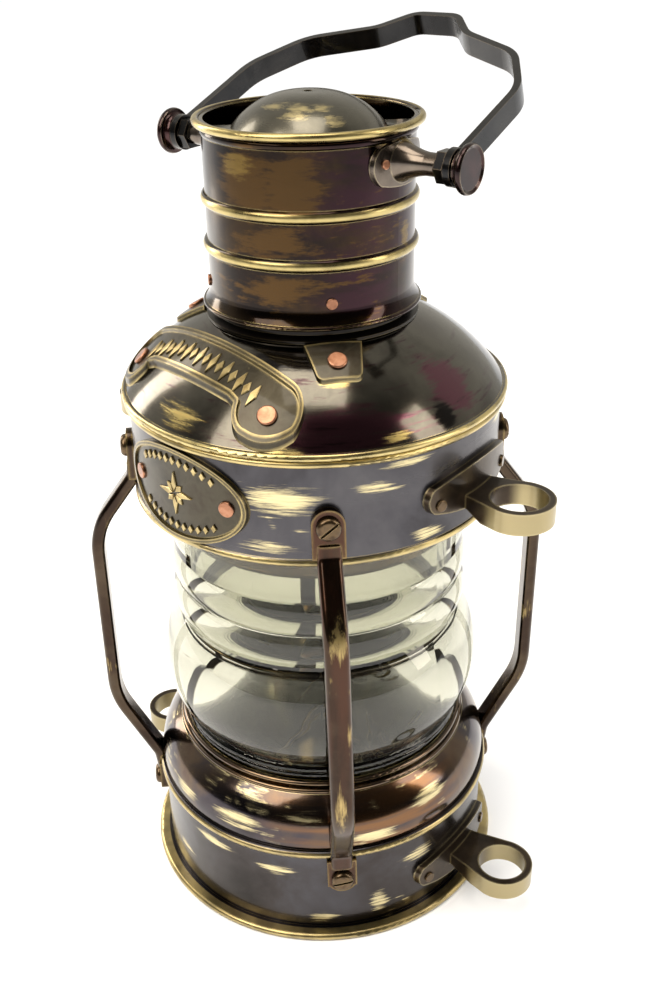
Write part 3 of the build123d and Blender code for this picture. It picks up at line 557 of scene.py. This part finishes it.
def raised(name, outlines, place):
    """Cast relief: each outline stands up from the plate with sloping sides."""
    mesh = bmesh.new()
    for outline in outlines:
        middle = Vector((0, 0))
        for point in outline:
            middle += Vector(point) / len(outline)
        rings = []
        for inset, lift in ((0.0, RELIEF_ROOT), (0.0, RELIEF_HIGH - RELIEF_SLOPE),
                            (RELIEF_SLOPE, RELIEF_HIGH)):
            ring = []
            for point in outline:
                arm = Vector(point) - middle
                arm *= max(SMALLEST_TOP, 1 - inset / max(arm.length, SHORTEST_ARM))
                ring.append(mesh.verts.new(place(*(middle + arm), lift)))
            rings.append(ring)
        count = len(outline)
        for low, top in zip(rings, rings[1:]):
            for i in range(count):
                mesh.faces.new((low[i], low[(i + 1) % count], top[(i + 1) % count], top[i]))
        mesh.faces.new(rings[-1])
    bmesh.ops.recalc_face_normals(mesh, faces=mesh.faces)
    data = bpy.data.meshes.new(name)
    mesh.to_mesh(data)
    mesh.free()
    piece = bpy.data.objects.new(name, data)
    scene.collection.objects.link(piece)
    data.materials.append(relief_look)
    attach(piece, "lantern_body")


def lozenge(across, up, wide, tall):
    """A diamond from its centre and its half width and half height."""
    return [(across - wide, up), (across, up - tall), (across + wide, up), (across, up + tall)]


STAR_RAYS = 8


def star_rays(long_ray, short_ray, waist):
    """A compass star as kite-shaped rays, long and short in turn."""
    rays = []
    for i in range(STAR_RAYS):
        a = math.radians(360 / STAR_RAYS * i)
        reach = short_ray if i % 2 else long_ray
        along = Vector((math.cos(a), math.sin(a)))
        side = Vector((-along.y, along.x))
        widest, half_wide = along * waist * 1.6, side * waist * 0.62
        corners = (along * 1.0, widest + half_wide, along * reach, widest - half_wide)
        rays.append([tuple(c) for c in corners])
    return rays


OVAL_HALF_WIDE, OVAL_HALF_TALL = 27.5, 14.4     # the oval on which the lozenges stand, mm
OVAL_STEP = 3.9
ARCH_REACH = 57.4               # distance of the arched row from the lantern's axis, mm
ARCH_STEP = 4.1


def oval_relief():
    shapes = star_rays(9.6, 5.8, 2.3)
    for side in (1, -1):
        for i in range(-5, 6):
            across = i * OVAL_STEP
            up = side * OVAL_HALF_TALL * math.sqrt(1 - (across / OVAL_HALF_WIDE) ** 2)
            shapes.append(lozenge(across, up, 1.45, 2.0))
    raised("oval_plate_relief", shapes, on_drum)


def arch_relief():
    shapes = []
    for i in range(-8, 9):
        tall = 4.2 if i % 2 == 0 else 2.6
        shapes.append(lozenge(i * ARCH_STEP, ARCH_REACH, 1.6, tall))
    raised("arched_plate_relief", shapes, on_dome)


# ---------------------------------------------------------------- floor, light and camera
CAMERA_TURN = 37.0              # degrees round from straight in front of the nameplates
CAMERA_REACH = 469 * MM
CAMERA_HEIGHT = 438.2 * MM
CAMERA_PITCH = 28.08
CAMERA_YAW = 0.35
CAMERA_ROLL = -1.15
CAMERA_LENS = 41.85
FLOOR_HALF = 6.0
LIGHT_AIM = 0.2                 # height that the lights point at, metres
LIGHT_TONE = (1.0, 0.92, 0.80)
WHITE = 1.1                     # brightness of the world to the eye

scene.view_settings.view_transform = "Standard"


def plain(name, colour, roughness):
    look = Look(name)
    tone = look.noise(0.4, detail=2.0)
    look.set(Base_Color=look.mix(tone, colour, tuple(c * 0.985 for c in colour)), Roughness=roughness)
    look.set(Specular_IOR_Level=0.0)
    return look.material


def stage_floor():
    mesh = bpy.data.meshes.new("floor")
    half = FLOOR_HALF
    corners = [(-half, -half, 0), (half, -half, 0), (half, half, 0), (-half, half, 0)]
    mesh.from_pydata(corners, [], [(0, 1, 2, 3)])
    floor = bpy.data.objects.new("floor", mesh)
    scene.collection.objects.link(floor)
    mesh.materials.append(plain("floor_paper", (0.93, 0.93, 0.93), 0.6))


def stage_world():
    """White to the eye; a studio with warm pale side walls to the polished metal and the glass."""
    world = bpy.data.worlds.new("studio")
    scene.world = world
    world.use_nodes = True
    tree = world.node_tree
    tree.nodes.clear()
    link = tree.links.new
    coord = tree.nodes.new("ShaderNodeTexCoord")
    away = tree.nodes.new("ShaderNodeVectorMath")
    away.operation = "DOT_PRODUCT"
    a = math.radians(CAMERA_TURN)
    away.inputs[1].default_value = (-math.sin(a), math.cos(a), 0)
    link(coord.outputs["Generated"], away.inputs[0])
    walls = tree.nodes.new("ShaderNodeValToRGB")
    stops = [(0.0, 0.03), (0.30, 0.06), (0.46, 0.17), (0.62, 0.62), (0.85, 0.7), (1.0, 0.6)]
    elements = walls.color_ramp.elements
    while len(elements) < len(stops):
        elements.new(0.5)
    for element, (place, value) in zip(elements, stops):
        element.position = place
        element.color = (value, value * 0.95, value * 0.84, 1)
    spread = tree.nodes.new("ShaderNodeMapRange")
    spread.inputs["From Min"].default_value = -1.0
    link(away.outputs["Value"], spread.inputs["Value"])
    link(spread.outputs["Result"], walls.inputs["Fac"])
    rays = tree.nodes.new("ShaderNodeLightPath")
    choose = tree.nodes.new("ShaderNodeMix")
    choose.data_type = "RGBA"
    either = tree.nodes.new("ShaderNodeMath")
    either.operation = "MAXIMUM"
    link(rays.outputs["Is Glossy Ray"], either.inputs[0])
    link(rays.outputs["Is Transmission Ray"], either.inputs[1])
    link(either.outputs[0], choose.inputs["Factor"])
    choose.inputs[MIX_COLOUR_A].default_value = (WHITE, WHITE, WHITE, 1)
    link(walls.outputs["Color"], choose.inputs[MIX_COLOUR_B])
    background = tree.nodes.new("ShaderNodeBackground")
    link(choose.outputs[MIX_COLOUR], background.inputs["Color"])
    background.inputs["Strength"].default_value = 1.0
    out = tree.nodes.new("ShaderNodeOutputWorld")
    link(background.outputs[0], out.inputs["Surface"])


def soft_light(name, azimuth, elevation, distance, size, power):
    """A warm rectangular soft light aimed at the lantern's middle."""
    light = bpy.data.lights.new(name, "AREA")
    light.shape = "RECTANGLE"
    light.size, light.size_y = size
    light.energy = power
    light.color = LIGHT_TONE
    lamp = bpy.data.objects.new(name, light)
    scene.collection.objects.link(lamp)
    a, e = math.radians(azimuth), math.radians(elevation)
    target = Vector((0, 0, LIGHT_AIM))
    back = Vector((math.cos(a) * math.cos(e), math.sin(a) * math.cos(e), math.sin(e)))
    lamp.location = target + back * distance
    lamp.rotation_euler = back.to_track_quat("Z", "Y").to_euler()


def add_camera():
    camera = bpy.data.objects.new("camera", bpy.data.cameras.new("camera"))
    scene.collection.objects.link(camera)
    a = math.radians(CAMERA_TURN)
    camera.location = (math.sin(a) * CAMERA_REACH, -math.cos(a) * CAMERA_REACH, CAMERA_HEIGHT)
    aim = Euler((math.radians(90 - CAMERA_PITCH), 0, math.radians(CAMERA_TURN - CAMERA_YAW))).to_matrix()
    roll = Matrix.Rotation(math.radians(CAMERA_ROLL), 3, "Z")
    camera.rotation_euler = (aim @ roll).to_euler()
    camera.data.lens = CAMERA_LENS
    camera.data.clip_start = 0.01
    scene.camera = camera


oval_relief()
arch_relief()
stage_floor()
stage_world()
soft_light("key", FRONT - 50, 48, 1.3, (0.7, 0.9), 12.0)
soft_light("fill", FRONT + 75, 25, 1.4, (0.35, 1.2), 7.0)
soft_light("back_left", FRONT - 125, 20, 1.4, (0.3, 1.2), 9.0)
soft_light("top", FRONT, 85, 1.3, (0.6, 0.6), 6.0)
add_camera()
